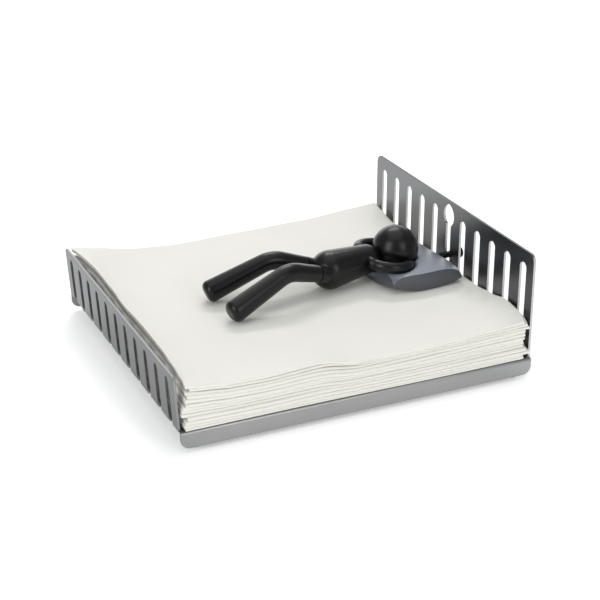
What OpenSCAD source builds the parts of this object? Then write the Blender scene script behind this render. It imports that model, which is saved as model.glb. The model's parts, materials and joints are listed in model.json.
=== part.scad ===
// Napkin holder in the form of a small bed. A tray bent from one steel sheet holds a stack of
// folded napkins between its two slotted boards. A weighted figure lies on the stack with its
// head on a pillow, and a pin behind the pillow rides in the keyhole slot of the headboard.

/* [Tray] */
// Length over the outer faces of the two boards
bed_l = 170; // [150:0.5:200]
// Width over the outer faces of the two rails
bed_w = 156.4; // [140:0.2:180]
// Thickness of the steel sheet
sheet_t = 1.2; // [0.8:0.1:1.6]
// Inside radius of the bends
bend_r = 0.6; // [0.4:0.1:1.2]
// Height of the turned-down rails, measured from the tray's top face
rail_h = 8; // [6.5:0.1:12]
// Radius of the rails' lower corners
rail_corner = 4; // [1:0.1:4.5]
// How far the ends of the rails stop short of the boards' outer faces
rail_inset = 0.6; // [0.2:0.1:1.2]
// Gap cut between each board and the rail beside it
relief = 0.4; // [0.2:0.1:1]
// Height of the footboard above the tray
footboard_rise = 25; // [18:0.5:28]
// Angle at which the footboard leans out
footboard_lean = 3.5; // [0:0.5:6]
// Height of the headboard above the tray
headboard_rise = 49; // [46:0.5:60]
// Radius of the footboard's upper corners
footboard_corner = 2; // [1:0.5:6]
// Radius of the headboard's upper corners
headboard_corner = 3.8; // [2:0.1:8]

/* [Slots] */
// Number of slots across each board, an odd number
slot_count = 11; // [7:2:11]
// Distance between the slots
slot_pitch = 13.5; // [12:0.1:14]
// Width of a slot in the headboard
slot_w = 5.2; // [3:0.1:6]
// Width of a slot in the footboard
foot_slot_w = 4.6; // [3:0.1:6]
// How far each slot runs into the tray past its bend
slot_run = 0.8; // [0.2:0.1:2]
// Sheet left above the footboard's slots
footboard_bar = 3.4; // [2:0.1:6]
// Sheet left above the headboard's slots
headboard_bar = 6; // [4:0.1:9]
// Width of the keyhole's stem, the slot in which the pin slides
stem_w = 4.4; // [4.2:0.1:5]
// Width of the keyhole's spoon-shaped bowl
bowl_w = 9.8; // [9.4:0.1:12]
// Height of the bowl from its neck to its tip
bowl_h = 11.4; // [10:0.1:13]
// Radius that rounds the tip of the bowl
bowl_tip = 7; // [6.6:0.1:8]
// Sheet left above the bowl
bowl_bar = 1.8; // [1.4:0.1:5]

/* [Feet] */
// Diameter of a bumper foot
foot_d = 7.2; // [6:0.1:10]
// How far the feet stand below the rails
foot_drop = 2; // [1:0.1:4]
// Radius round the bottom edge of a foot
foot_edge = 2.2; // [0.5:0.1:2.6]
// Distance from a board's outer face to the middle of the foot near it
foot_set = 8.2; // [7:0.1:20]
// Gap between a foot and the inside of its rail
foot_gap = 0.2; // [0.1:0.05:1]

/* [Napkins] */
// Length of a folded napkin, along the bed
napkin_l = 165; // [140:0.5:166]
// Width of a folded napkin, across the bed
napkin_w = 152; // [130:0.5:154]
// Thickness of a folded napkin
napkin_t = 1.24; // [0.8:0.02:1.4]
// Gap between two napkins
napkin_gap = 0.08; // [0.05:0.01:0.2]
// Number of napkins in the stack
napkin_count = 13; // [4:1:13]
// Radius of a napkin's corners
napkin_corner = 1.5; // [0.5:0.1:4]
// How far the stack lies towards the open side in front
stack_shift = 1.2; // [0:0.1:1.6]
// How far single napkins stray from the stack
stack_stray = 0.4; // [0:0.1:0.6]

/* [Pin] */
// Diameter of the pin
pin_d = 3.2; // [2.6:0.1:3.5]
// Height of the pin above the stack
pin_rise = 3.8; // [3:0.1:4.4]
// Length of pin inside the pillow
pin_depth = 12; // [6:0.5:14]
// Diameter of the cap on the pin's end
cap_d = 5.6; // [5.2:0.1:8]
// Thickness of the cap
cap_t = 1.2; // [0.8:0.1:2]
// Diameter of the loose washer behind the headboard
washer_d = 6; // [5.8:0.1:9]
// Thickness of the washer
washer_t = 1; // [0.6:0.1:1.4]
// Distance between the headboard and the washer
washer_set = 2.8; // [0.3:0.1:4]
// Running gap beside the washer
run_gap = 0.3; // [0.2:0.05:0.6]
// Gap between the pin and its bore in the pillow
pin_gap = 0.05; // [0.02:0.01:0.15]
// Steepest angle to which the figure tips up
tilt_max = 20; // [10:1:24]

/* [Pillow] */
// Length of the pillow, along the bed
pillow_l = 36.5; // [34:0.5:44]
// Width of the pillow
pillow_w = 48; // [42:0.5:58]
// Thickness of the pillow at its crown
pillow_t = 9.6; // [9:0.1:11]
// Height of the pillow's corners above the stack
pillow_seam = 4.2; // [3:0.1:5]
// Height of the boxed sides at their middle
pillow_side = 8.4; // [6:0.1:9]
// Thickness of the pinched corners
pillow_pinch = 0.4; // [0.3:0.1:1]
// How far the sides draw in between the corners
pillow_draw = 0.4; // [0:0.1:2.5]
// How far the back edge swells towards the headboard
pillow_back = 0.4; // [0:0.1:4]
// How far the corners at the shoulders pull in
pillow_taper = 3; // [0:0.1:5]
// Distance between the headboard and the pillow's back corners
pillow_set = 7.4; // [5:0.1:8]
// Gap between the pillow and what lies on it
pillow_gap = 0.7; // [0.6:0.05:0.9]

/* [Figure] */
// Angle at which the figure lies across the bed
lie_angle = 4.2; // [0:0.1:5]
// Gap between the figure and the stack
lie_gap = 0.2; // [0.1:0.05:0.5]
// Radius of the head
head_r = 11.2; // [9:0.1:11.5]
// Distance from the pillow's back corners to the middle of the head
head_set = 22.9; // [20:0.1:25]
// Thickness of pillow left under the head
head_bed = 1.4; // [1.2:0.1:4.5]
// Distance along the bed from the head's middle to the shoulders
neck_l = 16.4; // [15:0.1:18]
// Radius of the torso at the shoulders
shoulder_r = 7; // [6.5:0.1:8.2]
// Radius of the torso at the hips
hip_r = 9.3; // [8.4:0.1:10.5]
// Length of the torso from shoulders to hips
torso_l = 19.5; // [18:0.5:26]
// Angle at which the torso slopes up to the shoulders
torso_slope = 4.3; // [2:0.1:7]
// Gap where the limbs and the head meet the torso
seat_gap = 0.1; // [0.05:0.05:0.3]
// Gap round the pegs that join the figure's pieces
peg_gap = 0.05; // [0.02:0.01:0.15]

/* [Arms] */
// Radius of an arm
arm_r = 2.6; // [2:0.1:3]
// Radius of the bow that an arm makes round the head
arm_bow = 9.7; // [9:0.1:11]
// Distance from the head's middle to the middle of the bow, towards the feet
arm_set = 5.2; // [4:0.1:6.5]
// How much further towards the feet the left arm's bow lies
arm_skew = 2.8; // [0:0.1:3.5]
// Distance from the figure's middle line to the middle of the bow
arm_part = 7; // [5:0.1:8]
// How far the bow lies below the shoulders
arm_drop = 0.1; // [0:0.1:2.4]
// Angle at which the bow slopes down to the hands
arm_slope = 8; // [7:0.5:12]
// Angle on the bow at which the hands end
hand_angle = 140; // [120:1:146]
// Diameter of the pegs on the arms
arm_peg_d = 2.4; // [1.6:0.1:2.8]

/* [Legs] */
// Distance from the hips' middle to the start of a leg, towards the feet
leg_out = 5; // [4:0.1:6]
// Distance from the figure's middle line to the start of a leg
leg_part = 5.5; // [5:0.1:6]
// Height of the start of a leg above the hips' middle
leg_up = 0.6; // [0:0.1:3]
// Angle at which the legs spread
leg_spread = 8; // [6:0.5:16]
// Radius of a leg at the hip
thigh_r = 3.8; // [3.2:0.1:4.2]
// Radius of a leg at the knee
knee_r = 4.4; // [4:0.1:5]
// Radius of a leg at the foot
ankle_r = 5.3; // [4.6:0.1:6]
// Length of the thigh, to the corner of the knee
thigh_l = 22.8; // [20:0.1:26]
// Angle at which the thigh rises
thigh_rise = 17.5; // [12:0.5:24]
// Length of the shin, from the corner of the knee
shin_l = 31.6; // [28:0.1:38]
// Radius of the bend at the knee
knee_bend = 14; // [10:0.5:18]
// Radius round the end of the foot
toe_edge = 3; // [1:0.1:4]
// Diameter of the pegs on the legs
leg_peg_d = 3.4; // [2:0.1:4]

/* [Hidden] */
$fn = 64;
// Small overlap that makes a cut run clear of a face
cut = 1;

out_r = bend_r + sheet_t;
tray_z = foot_drop + rail_h;
under_z = tray_z - sheet_t;
board_w = bed_w - 2 * (out_r + relief);
rail_l = bed_l - 2 * rail_inset;
headboard_z = tray_z + headboard_rise;
bowl_z = headboard_z - bowl_bar - bowl_h / 2;
// Steps round a bend, and how far the leaning footboard reaches past its bend
bend_steps = 8;
foot_reach = (footboard_rise - bend_r) * sin(footboard_lean) - out_r * (1 - cos(footboard_lean));

napkin_pitch = napkin_t + napkin_gap;
stack_z = tray_z + napkin_count * napkin_pitch;
lie_z = stack_z + lie_gap;

// The washer's middle is the point about which the figure tips
washer_x = bed_l / 2 + washer_set + washer_t / 2;
board_u = washer_set + washer_t / 2 + sheet_t;
pin_z = lie_z + pin_rise;
washer_bore = pin_d / cos(tilt_max) + washer_t * tan(tilt_max) + 2 * run_gap;
swing = tilt_max + lie_angle / 4;
cap_u = (washer_t / 2 + run_gap + cap_d / 2 * sin(swing)) / cos(swing);
pin_reach = (cap_u + cap_t) * cos(lie_angle) + cap_d / 2 * sin(lie_angle);
bed_x = -(washer_x + pin_reach - bed_l / 2 - foot_reach) / 2;

// Places on the figure: u runs from the washer to the feet, w towards its left side
pillow_u = board_u + pillow_set;
pillow_mid = pillow_u + pillow_l / 2;
head_u = pillow_u + head_set;
head_z = lie_z + head_bed + pillow_gap + head_r;
shoulder_u = head_u + neck_l;
hip_u = shoulder_u + torso_l * cos(torso_slope);
hip_z = lie_z + hip_r;
shoulder_z = hip_z + torso_l * sin(torso_slope);
neck_peg_d = shoulder_r;
neck_lean = atan2(head_u - shoulder_u, head_z - shoulder_z);
neck_peg_l = norm([head_u - shoulder_u, head_z - shoulder_z]) - head_r / 2;
bow_u = head_u + arm_set;
function bow_at(side) = bow_u + (side > 0 ? arm_skew : 0);
bow_z = shoulder_z - arm_drop;
// Angles on an arm's bow at which its peg points into the shoulder and its tube starts
shoulder_angle = 5;
bow_start = -25;
peg_l = 5;
peg_root = 2;
peg_room = 0.3;

// The shin comes down so that the foot meets the stack
leg_u = hip_u + leg_out;
leg_z = hip_z + leg_up;
knee_z = leg_z + thigh_l * sin(thigh_rise);
shin_drop = asin((knee_z - lie_z - ankle_r) / shin_l);
knee_turn = thigh_rise + shin_drop;
knee_trim = knee_bend * tan(knee_turn / 2);

sides = [1, -1];
corners = [[-1, -1], [1, -1], [-1, 1], [1, 1]];
pillow_n = 24;

// Steps round the ends of the torso, faces round and along a limb, and the angle at which the
// round of a hand stops
torso_steps = 12;
limb_sides = 24;
bow_rings = 20;
knee_rings = 10;
end_rings = 5;
end_angle = 84;

FEET = ["foot_front_left", "foot_front_right", "foot_back_left", "foot_back_right"];
NAPKINS = [for (i = [1 : napkin_count])
    i == napkin_count ? "top_napkin" : str(i < 10 ? "napkin_0" : "napkin_", i)];

// Puts the bed's middle where the whole object's box is centred
module on_bed() {
    translate([bed_x, 0, 0]) children();
}

// Puts a piece that lies along +X from the washer on the bed, at the figure's angle
module lying() {
    on_bed() translate([washer_x, 0, 0]) rotate([0, 0, 180 + lie_angle]) children();
}

// Turns a shape drawn in X and Z into a solid across the bed, centred on it
module across(w) {
    rotate([90, 0, 0]) linear_extrude(w, center = true) children();
}

// Turns a shape drawn in Y and Z into a solid along the bed, centred on it
module along(l) {
    rotate([90, 0, 90]) linear_extrude(l, center = true) children();
}

// A plate whose upper corners are round
module round_topped(w, h, r) {
    translate([-w / 2, 0]) square([w, h - r]);
    translate([r - w / 2, 0]) square([w - 2 * r, h]);
    for (s = sides) translate([s * (w / 2 - r), h - r]) circle(r);
}

// The section of a board or rail, bent up from a flat that ends at the left of it: a bend that stops
// short of a quarter turn by the lean, and a plate
module flange_section(rise, lean) {
    turns = [for (i = [0 : bend_steps]) -90 + (90 - lean) * i / bend_steps];
    foot = [cos(lean), -sin(lean)];
    top = (rise - bend_r) * [sin(lean), cos(lean)];
    polygon(concat(
        [for (a = turns) out_r * [cos(a), sin(a)]],
        [foot * out_r + top, foot * bend_r + top],
        [for (i = [bend_steps : -1 : 0]) bend_r * [cos(turns[i]), sin(turns[i])]]));
}

// The tray's flat, one board or rail after another is bent from its edges
module tray_flat() {
    translate([0, 0, under_z + sheet_t / 2])
        cube([bed_l - 2 * out_r, bed_w - 2 * out_r, sheet_t], center = true);
}

// A board bent up from the end of the tray at +X, leaning out
module board(rise, corner, lean) {
    intersection() {
        translate([bed_l / 2 - out_r, 0, tray_z + bend_r])
            across(board_w) flange_section(rise, lean);
        translate([bed_l / 2, 0, under_z])
            along(bed_l / 2) round_topped(board_w, rise + sheet_t, corner);
    }
}

// A rail bent down from the side of the tray at +Y
module rail() {
    intersection() {
        translate([0, bed_w / 2 - out_r, under_z - bend_r])
            along(rail_l) mirror([0, 1]) flange_section(rail_h - sheet_t, 0);
        translate([0, bed_w / 2, tray_z])
            across(bed_w / 2) mirror([0, 1]) round_topped(rail_l, rail_h, rail_corner);
    }
}

// What is cut from a board for one slot, from inside the bend up to a round end at top_z
module slot_cut(w, top_z) {
    low_z = under_z - cut;
    inside = bed_l / 2 - out_r - slot_run;
    deep = out_r + slot_run + foot_reach + cut;
    translate([inside, -w / 2, low_z]) cube([deep, w, top_z - w / 2 - low_z]);
    translate([inside, 0, top_z - w / 2]) rotate([0, 90, 0]) cylinder(h = deep, d = w);
}

// The outline of the keyhole's bowl: two arcs that meet at the neck, rounded at the tip
module bowl_outline() {
    side_r = (pow(bowl_w / 2, 2) + pow(bowl_h / 2, 2)) / bowl_w;
    intersection() {
        for_both_sides(side_r - bowl_w / 2) circle(side_r);
        translate([0, bowl_h / 2 - bowl_tip]) circle(bowl_tip + bowl_w / 20);
    }
}

// What two copies of a shape, moved apart by this much each way, have in common
module for_both_sides(off) {
    intersection() {
        translate([off, 0]) children();
        translate([-off, 0]) children();
    }
}

// The row of slots; on the headboard the middle one is the keyhole
module slot_row(w, top_z, keyhole) {
    half = (slot_count - 1) / 2;
    for (i = [-half : half]) translate([0, i * slot_pitch, 0]) {
        if (keyhole && i == 0) {
            slot_cut(stem_w, bowl_z);
            translate([bed_l / 2, 0, bowl_z]) along(2 * (sheet_t + cut)) bowl_outline();
        } else {
            slot_cut(w, top_z);
        }
    }
}

module bed_frame() {
    color("silver") on_bed() difference() {
        union() {
            tray_flat();
            board(headboard_rise, headboard_corner, 0);
            mirror([1, 0, 0]) board(footboard_rise, footboard_corner, footboard_lean);
            rail();
            mirror([0, 1, 0]) rail();
        }
        slot_row(slot_w, headboard_z - headboard_bar, true);
        mirror([1, 0, 0]) slot_row(foot_slot_w, tray_z + footboard_rise - footboard_bar, false);
    }
}

// A clear bumper stuck under the tray, tucked in beside a rail
module foot(i) {
    r = foot_d / 2;
    x = corners[i][0] * (bed_l / 2 - foot_set);
    y = corners[i][1] * (bed_w / 2 - sheet_t - foot_gap - r);
    color("gainsboro") on_bed() translate([x, y, 0]) rotate_extrude() {
        square([r - foot_edge, under_z]);
        translate([0, foot_edge]) square([r, under_z - foot_edge]);
        intersection() {
            translate([r - foot_edge, foot_edge]) circle(foot_edge);
            square(r);
        }
    }
}

// One folded napkin, strayed a little from the stack
module napkin(i) {
    stray = stack_stray * [sin(i * 137), cos(i * 71)];
    z = tray_z + i * napkin_pitch + napkin_gap;
    side = [napkin_l - 2 * napkin_corner, napkin_w - 2 * napkin_corner];
    color("ivory") on_bed() translate([stray[0], stray[1] - stack_shift, z]) linear_extrude(napkin_t) {
        square([napkin_l, side[1]], center = true);
        square([side[0], napkin_w], center = true);
        for (c = corners) translate([c[0] * side[0], c[1] * side[1]] / 2) circle(napkin_corner);
    }
}

// The loose washer that slides behind the headboard with the pin
module washer() {
    color("dimgray") on_bed() translate([washer_x, 0, pin_z]) rotate([0, 90, 0]) difference() {
        cylinder(h = washer_t, d = washer_d, center = true);
        cylinder(h = washer_t + cut, d = washer_bore, center = true);
    }
}

// The pin from its cap, through the washer and the slot, into the pillow
module guide_pin() {
    color("black") lying() translate([-cap_u - cap_t, 0, pin_z]) rotate([0, 90, 0]) {
        cylinder(h = cap_t, d = cap_d);
        cylinder(h = cap_t + cap_u + pillow_u + pin_depth, d = pin_d);
    }
}

// Underside of a round body with its middle at height z, at a distance d from its axis
function under_round(d, r, z) = z - (d < r ? sqrt(r * r - d * d) : 0);

// Room left on the pillow for the head, the shoulders and the arms
function head_floor(u, w) = under_round(norm([u - head_u, w]), head_r + pillow_gap, head_z);
function shoulder_floor(u, w) =
    under_round(norm([u - shoulder_u, w]), shoulder_r + pillow_gap, shoulder_z);
function arm_floor(u, w) = under_round(
    abs(norm([u - bow_at(w), abs(w) - arm_part]) - arm_bow),
    arm_r + pillow_gap,
    bow_z + (u - bow_at(w)) * tan(arm_slope));

// Half the height of the pillow's boxed sides, which pinch to nothing at the corners
function pillow_half(a, b) = (pillow_side * (1 - a * a * b * b) + pillow_pinch) / 2;
function pillow_top(a, b, u, w) = min(
    lie_z + pillow_seam + pillow_half(a, b)
        + (pillow_t - pillow_seam - pillow_half(0, 0)) * (1 - pow(abs(a), 2.5)) * (1 - pow(abs(b), 2.5)),
    head_floor(u, w), shoulder_floor(u, w), arm_floor(u, w));
function pillow_low(a, b) = max(lie_z, lie_z + pillow_seam - pillow_half(a, b));

// Place in plan of a point of the pillow: the back edge swells and the other sides draw in between
// the corners, and the corners at the shoulders pull in
function pillow_plan(a, b) = [
    pillow_mid + a * (pillow_l / 2 - pillow_draw * (1 - b * b))
        - pillow_back * (1 - b * b) * pow(max(-a, 0), 2),
    b * (pillow_w / 2 - pillow_draw * (1 - a * a) - pillow_taper * pow(max(a, 0), 2))];

// The boxed pillow: a grid of points on its top, the same grid below, and its sides; the faces'
// diagonals on one half mirror those on the other
module pillow_form() {
    n = pillow_n;
    steps = [for (i = [0 : n]) 2 * i / n - 1];
    plan = [for (a = steps) for (b = steps) [a, b, pillow_plan(a, b)]];
    top = [for (p = plan) [p[2][0], p[2][1], pillow_top(p[0], p[1], p[2][0], p[2][1])]];
    low = [for (p = plan) [p[2][0], p[2][1], pillow_low(p[0], p[1])]];
    row = n + 1;
    under = row * row;
    cells = [for (i = [0 : n - 1]) for (j = [0 : n - 1]) i * row + j];
    top_faces = [for (c = cells) each c % row < n / 2
        ? [[c, c + 1, c + row], [c + 1, c + row + 1, c + row]]
        : [[c, c + 1, c + row + 1], [c, c + row + 1, c + row]]];
    low_faces = [for (f = top_faces) [f[0] + under, f[2] + under, f[1] + under]];
    rim = concat(
        [for (i = [0 : n - 1]) [i * row, (i + 1) * row]],
        [for (j = [0 : n - 1]) [n * row + j, n * row + j + 1]],
        [for (i = [n : -1 : 1]) [i * row + n, (i - 1) * row + n]],
        [for (j = [n : -1 : 1]) [j, j - 1]]);
    rim_faces = [for (e = rim)
        each [[e[0] + under, e[0], e[1]], [e[0] + under, e[1], e[1] + under]]];
    polyhedron(concat(top, low), concat(top_faces, low_faces, rim_faces));
}

module pillow() {
    color("slategray") lying() difference() {
        pillow_form();
        translate([0, 0, pin_z]) rotate([0, 90, 0])
            cylinder(h = pillow_u + pin_depth + peg_room, r = pin_d / 2 + pin_gap);
    }
}

// Half of the torso's outline: a round end at the shoulders, at the origin, a straight side, and
// a larger round end at the hips
module torso_outline(grow) {
    r1 = shoulder_r + grow;
    r2 = hip_r + grow;
    lean = asin((r2 - r1) / torso_l);
    n = torso_steps;
    polygon(concat(
        [for (i = [0 : n]) let (a = -90 + i * (90 - lean) / n) r1 * [cos(a), sin(a)]],
        [for (i = [0 : n]) let (a = -lean + i * (90 + lean) / n) r2 * [cos(a), sin(a)] + [0, torso_l]]));
}

// The torso lying from the shoulders to the hips
module torso_form(grow) {
    translate([shoulder_u, 0, shoulder_z]) rotate([0, 90 + torso_slope, 0])
        rotate_extrude() torso_outline(grow);
}

// The head, a ball with its poles on the line of the neck
module head_form(grow) {
    translate([head_u, 0, head_z]) rotate([0, neck_lean, 0]) sphere(head_r + grow);
}

// A peg of the neck, from inside the torso into the head
module neck_peg(grow) {
    translate([shoulder_u, 0, shoulder_z]) rotate([0, neck_lean, 0])
        cylinder(h = neck_peg_l + (grow > 0 ? peg_room : 0), d = neck_peg_d + 2 * grow);
}

module torso() {
    color("black") lying() difference() {
        union() {
            difference() {
                torso_form(0);
                head_form(seat_gap);
            }
            neck_peg(0);
        }
        for (s = sides) {
            arm_side(s) arm_peg(peg_gap);
            leg_side(s) leg_peg(peg_gap);
        }
    }
}

module head() {
    color("black") lying() difference() {
        head_form(0);
        neck_peg(peg_gap);
    }
}

// A point on the ring of a limb, for a station given as x, y, heading and radius
function ring_point(st, turn) = [
    st[0] - st[3] * cos(turn) * sin(st[2]),
    st[1] + st[3] * cos(turn) * cos(st[2]),
    st[3] * sin(turn)];

// A station further on from another, straight ahead
function ahead(st, l, r) = [st[0] + l * cos(st[2]), st[1] + l * sin(st[2]), st[2], r];

// A tube through stations in the plane of X and Y, closed at both ends
module limb(stations) {
    m = limb_sides;
    last = (len(stations) - 1) * m;
    points = [for (st = stations) for (i = [0 : m - 1]) ring_point(st, 360 * i / m)];
    walls = [for (k = [0 : m : last - m]) for (i = [0 : m - 1]) let (j = (i + 1) % m)
        each [[k + i, k + m + i, k + m + j], [k + i, k + m + j, k + j]]];
    ends = [for (i = [1 : m - 2]) each [[0, i, i + 1], [last, last + i + 1, last + i]]];
    polyhedron(points, concat(walls, ends));
}

// Places one arm's bow on its side of the head
module arm_side(s) {
    translate([bow_at(s), 0, bow_z]) rotate([0, -arm_slope, 0]) mirror([0, s < 0 ? 1 : 0, 0])
        translate([0, arm_part, 0]) children();
}

module arm_peg(grow) {
    rotate([0, 0, shoulder_angle]) translate([arm_bow, peg_root, 0]) rotate([90, 0, 0])
        cylinder(h = peg_root + peg_l + (grow > 0 ? peg_room : 0), d = arm_peg_d + 2 * grow);
}

// Stations of an arm, round its bow to the rounded hand
function bow_station(angle) = [arm_bow * cos(angle), arm_bow * sin(angle), angle + 90, arm_r];
arm_stations = concat(
    [for (i = [0 : bow_rings]) bow_station(bow_start + (hand_angle - bow_start) * i / bow_rings)],
    [for (i = [1 : end_rings]) let (a = end_angle * i / end_rings)
        ahead(bow_station(hand_angle), arm_r * sin(a), arm_r * cos(a))]);

// An arm bowed round the head, with its peg in the shoulder
module arm(s) {
    color("black") lying() {
        difference() {
            arm_side(s) limb(arm_stations);
            torso_form(seat_gap);
            head_form(seat_gap);
        }
        arm_side(s) arm_peg(0);
    }
}

// Places one leg at its hip, with +X along the thigh
module leg_side(s) {
    translate([leg_u, s * leg_part, leg_z]) rotate([0, 0, s * leg_spread])
        rotate([0, -thigh_rise, 0]) children();
}

module leg_peg(grow) {
    translate([-peg_l - (grow > 0 ? peg_room : 0), 0, 0]) rotate([0, 90, 0])
        cylinder(h = peg_l + peg_root + (grow > 0 ? peg_room : 0), d = leg_peg_d + 2 * grow);
}

// Stations of a leg: the thigh, the bend of the knee, the shin and the rounded foot
thigh_end = ahead([0, 0, 0, thigh_r], thigh_l - knee_trim, knee_r);
function knee_station(turn) = [
    thigh_end[0] + knee_bend * sin(turn),
    knee_bend * (cos(turn) - 1),
    -turn,
    knee_r];
shin_end = ahead(knee_station(knee_turn), shin_l - knee_trim, ankle_r);
leg_stations = concat(
    [[0, 0, 0, thigh_r]],
    [for (i = [0 : knee_rings]) knee_station(knee_turn * i / knee_rings)],
    [for (i = [0 : end_rings]) let (a = 90 * i / end_rings)
        ahead(shin_end, toe_edge * sin(a), ankle_r - toe_edge * (1 - cos(a)))]);

module leg(s) {
    color("black") lying() {
        difference() {
            leg_side(s) rotate([90, 0, 0]) limb(leg_stations);
            torso_form(seat_gap);
        }
        leg_side(s) leg_peg(0);
    }
}

bed_frame();
for (i = [0 : 3]) foot(i);
for (i = [0 : napkin_count - 1]) napkin(i);
washer();
guide_pin();
pillow();
torso();
head();
arm(1);  // left_arm
arm(-1);  // right_arm
leg(1);  // left_leg
leg(-1);  // right_leg
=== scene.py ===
"""A bed-shaped napkin holder: a slotted steel tray, a stack of folded napkins and a lying figure.

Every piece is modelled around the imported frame, which says where the parts are and what they ride on.
"""

import json
import math

import bmesh
import bpy
import numpy as np
from bpy.props import FloatProperty, FloatVectorProperty, IntProperty, PointerProperty
from bpy.types import Operator, Panel, PropertyGroup
from mathutils import Matrix, Vector


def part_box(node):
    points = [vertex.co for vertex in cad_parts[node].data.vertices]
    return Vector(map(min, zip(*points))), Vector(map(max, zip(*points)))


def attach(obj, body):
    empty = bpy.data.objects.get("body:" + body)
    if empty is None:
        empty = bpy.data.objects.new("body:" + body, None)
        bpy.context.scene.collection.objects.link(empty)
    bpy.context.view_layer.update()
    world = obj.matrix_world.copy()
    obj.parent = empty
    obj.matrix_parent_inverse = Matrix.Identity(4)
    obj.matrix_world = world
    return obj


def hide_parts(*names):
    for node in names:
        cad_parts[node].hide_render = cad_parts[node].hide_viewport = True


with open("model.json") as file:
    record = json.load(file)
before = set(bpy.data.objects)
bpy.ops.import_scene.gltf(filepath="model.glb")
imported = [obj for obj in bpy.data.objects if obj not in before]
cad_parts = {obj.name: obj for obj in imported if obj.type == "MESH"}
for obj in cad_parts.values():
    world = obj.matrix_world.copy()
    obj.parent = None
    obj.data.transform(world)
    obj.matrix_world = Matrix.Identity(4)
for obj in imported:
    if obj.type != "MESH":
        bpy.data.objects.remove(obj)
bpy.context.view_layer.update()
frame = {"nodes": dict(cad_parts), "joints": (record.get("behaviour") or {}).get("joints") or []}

bl_info = {
    "name": "Bed napkin holder",
    "version": (1, 0, 0),
    "blender": (4, 5, 0),
    "location": "View3D > Sidebar > Napkin holder",
    "description": "Models a bed-shaped napkin holder around its frame",
    "category": "Add Mesh",
}

MM = 0.001

# The figure tips about the washer, so its lengths are measured from there
TILT = next(j for j in frame["joints"] if j["name"] == "sleeper_tilt")
PIVOT = Vector(TILT["pos_m"])
NAPKINS = [f"napkin_{i:02d}" for i in range(1, 13)] + ["top_napkin"]
FEET = ["foot_front_left", "foot_front_right", "foot_back_left", "foot_back_right"]


def length(name, description, millimetres):
    """A length that a user may change, given in millimetres."""
    return FloatProperty(
        name=name, description=description, default=millimetres * MM, min=0.0,
        unit="LENGTH", precision=5,
    )


def angle(name, description, degrees):
    """An angle that a user may change, given in degrees."""
    return FloatProperty(
        name=name, description=description, default=math.radians(degrees), subtype="ANGLE"
    )


def number(name, description, value, **limits):
    """A plain number that a user may change."""
    return FloatProperty(name=name, description=description, default=value, **limits)


def watts(name, description, value):
    """The power of a light, which a user may change."""
    return number(name, description, value, min=0.0, unit="POWER")


def point(name, description, xyz):
    """A place that a user may change, given in metres."""
    return FloatVectorProperty(
        name=name, description=description, default=xyz, subtype="TRANSLATION", unit="LENGTH"
    )


def colour(name, description, rgb):
    """A linear colour that a user may change."""
    return FloatVectorProperty(
        name=name, description=description, default=rgb, min=0.0, max=1.0, size=3, subtype="COLOR"
    )


class TraySettings(PropertyGroup):
    """Sizes of the steel tray."""

    edge_round: length("Edge round", "Radius that breaks the edges of the cut sheet", 0.14)


class StackSettings(PropertyGroup):
    """Sizes of the folded napkins and how loosely they lie."""

    napkin_x: length("Folded length", "Length of a folded napkin along the bed", 165)
    napkin_y: length("Folded width", "Width of a folded napkin across the bed", 152)
    pitch: length("Pitch", "Height of one napkin in the stack", 1.32)
    layer_gap: length("Layer gap", "Distance between the layers of one napkin", 0.38)
    fold_puff: length("Fold puff", "Extra distance between the layers at the folds", 0.05)
    stray_x: length("Stray along", "How far napkins stray along the bed", 0.9)
    stray_y: length("Stray across", "How far napkins stray across the bed", 0.4)
    tuck: length("Tuck", "How far the corner at the front of the headboard is tucked in", 3)
    droop: length("Droop", "How far the lowest napkins droop over the rail", 0.45)
    ripple: length("Ripple", "Height of the ripples in one napkin", 0.12)
    edge_reach: length("Edge reach", "How far the lift of the stack's edges reaches in", 12)


class PillowSettings(PropertyGroup):
    """Sizes of the pillow."""

    length: length("Length", "Length of the pillow along the bed", 36.5)
    width: length("Width", "Width of the pillow", 48)
    crown: length("Crown", "Height of the pillow at its middle", 9.6)
    seam: length("Corner height", "Height of the pillow's corners above the stack", 4.2)
    side: length("Side height", "Height of the boxed sides at their middle", 8.4)
    pinch: length("Pinch", "Thickness of the pinched corners", 0.5)
    bulge: length("Bulge", "How far the boxed sides bulge out", 0.6)
    back: length("Back swell", "How far the back edge swells towards the headboard", 0.4)
    fall: length("Back fall", "How far the pillow's top falls towards the headboard", 2.6)
    taper: length("Taper", "How far the corners at the shoulders pull in", 3)
    inset: length("Inset", "Distance from the washer to the pillow's back corners", 11.9)
    dent_gap: length("Dent gap", "Gap between the pillow and what lies on it", 0.3)


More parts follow.
